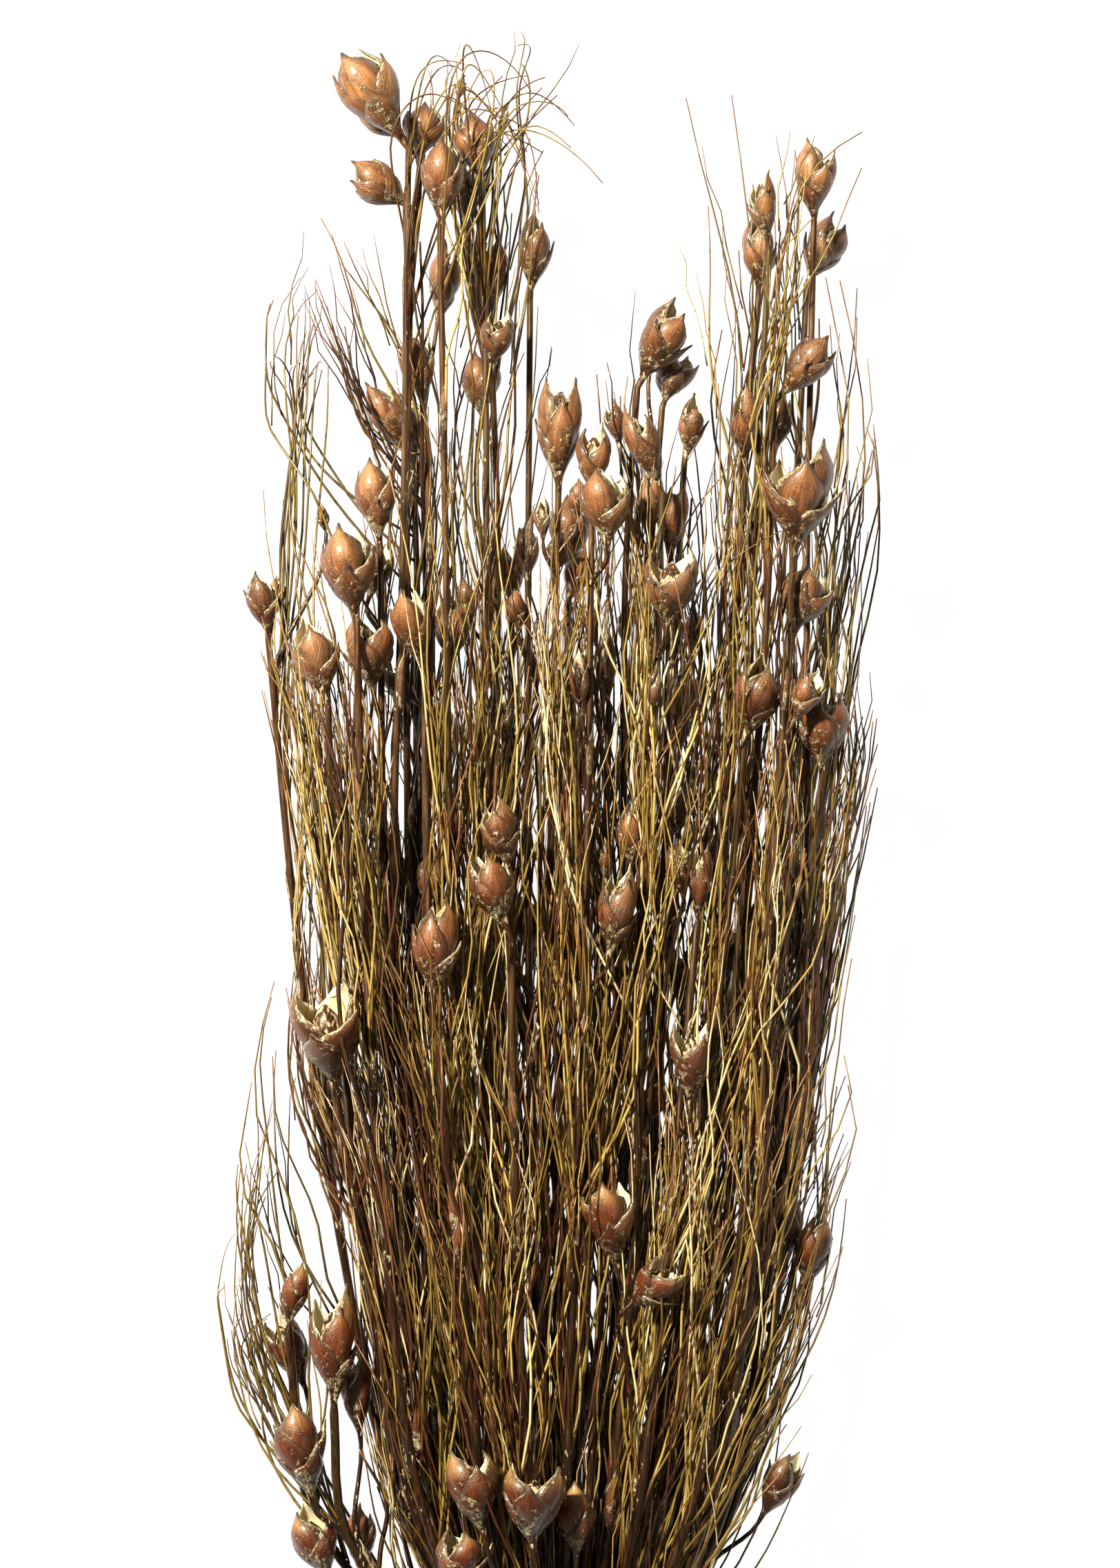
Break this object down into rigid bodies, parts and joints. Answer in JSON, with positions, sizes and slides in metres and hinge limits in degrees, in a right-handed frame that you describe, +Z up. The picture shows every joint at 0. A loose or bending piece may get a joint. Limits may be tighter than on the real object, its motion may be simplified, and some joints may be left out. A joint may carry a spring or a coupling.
{
  "type": "dried bell reed bunch",
  "caption": "Tied bunch of dried bell reed lying down: wiry brown culms with sheathed joints, bell-shaped heads of overlapping bracts and fine straw-coloured branchlets",
  "frame": {"origin": "bottom centre of the bunch's bounding box, on the surface that it lies on", "axes": "+Y along the bunch from the cut ends to the heads, +X to the right seen from above with the heads away, +Z up"},
  "size_m": [0.253, 0.7362, 0.0855],
  "materials": {
    "culm": "dried reed culm, smooth brown, slightly glossy",
    "bract": "papery chestnut bracts with pale edges, satin",
    "thread": "dry straw and olive branchlets, satin",
    "twine": "natural jute twine, matt"
  },
  "bodies": {
    "root": {"stem_01": "culm", "stem_02": "culm", "stem_03": "culm", "stem_04": "culm", "stem_05": "culm", "stem_06": "culm", "stem_07": "culm", "stem_08": "culm", "stem_09": "culm", "stem_10": "culm", "stem_11": "culm", "stem_12": "culm", "stem_13": "culm", "stem_14": "culm", "stem_15": "culm", "stem_16": "culm", "stem_17": "culm", "stem_18": "culm", "stem_19": "culm", "stem_20": "culm", "stem_21": "culm", "stem_22": "culm", "stem_23": "culm", "stem_24": "culm", "stem_25": "culm", "stem_26": "culm", "stem_27": "culm", "stem_28": "culm", "stem_29": "culm", "stem_30": "culm", "stem_31": "culm", "stem_32": "culm", "stem_33": "culm", "stem_34": "culm", "stem_35": "culm", "stem_36": "culm", "stem_37": "culm", "stem_38": "culm", "stem_39": "culm", "stem_40": "culm", "stem_41": "culm", "tie": "twine"}
  },
  "joints": []
}
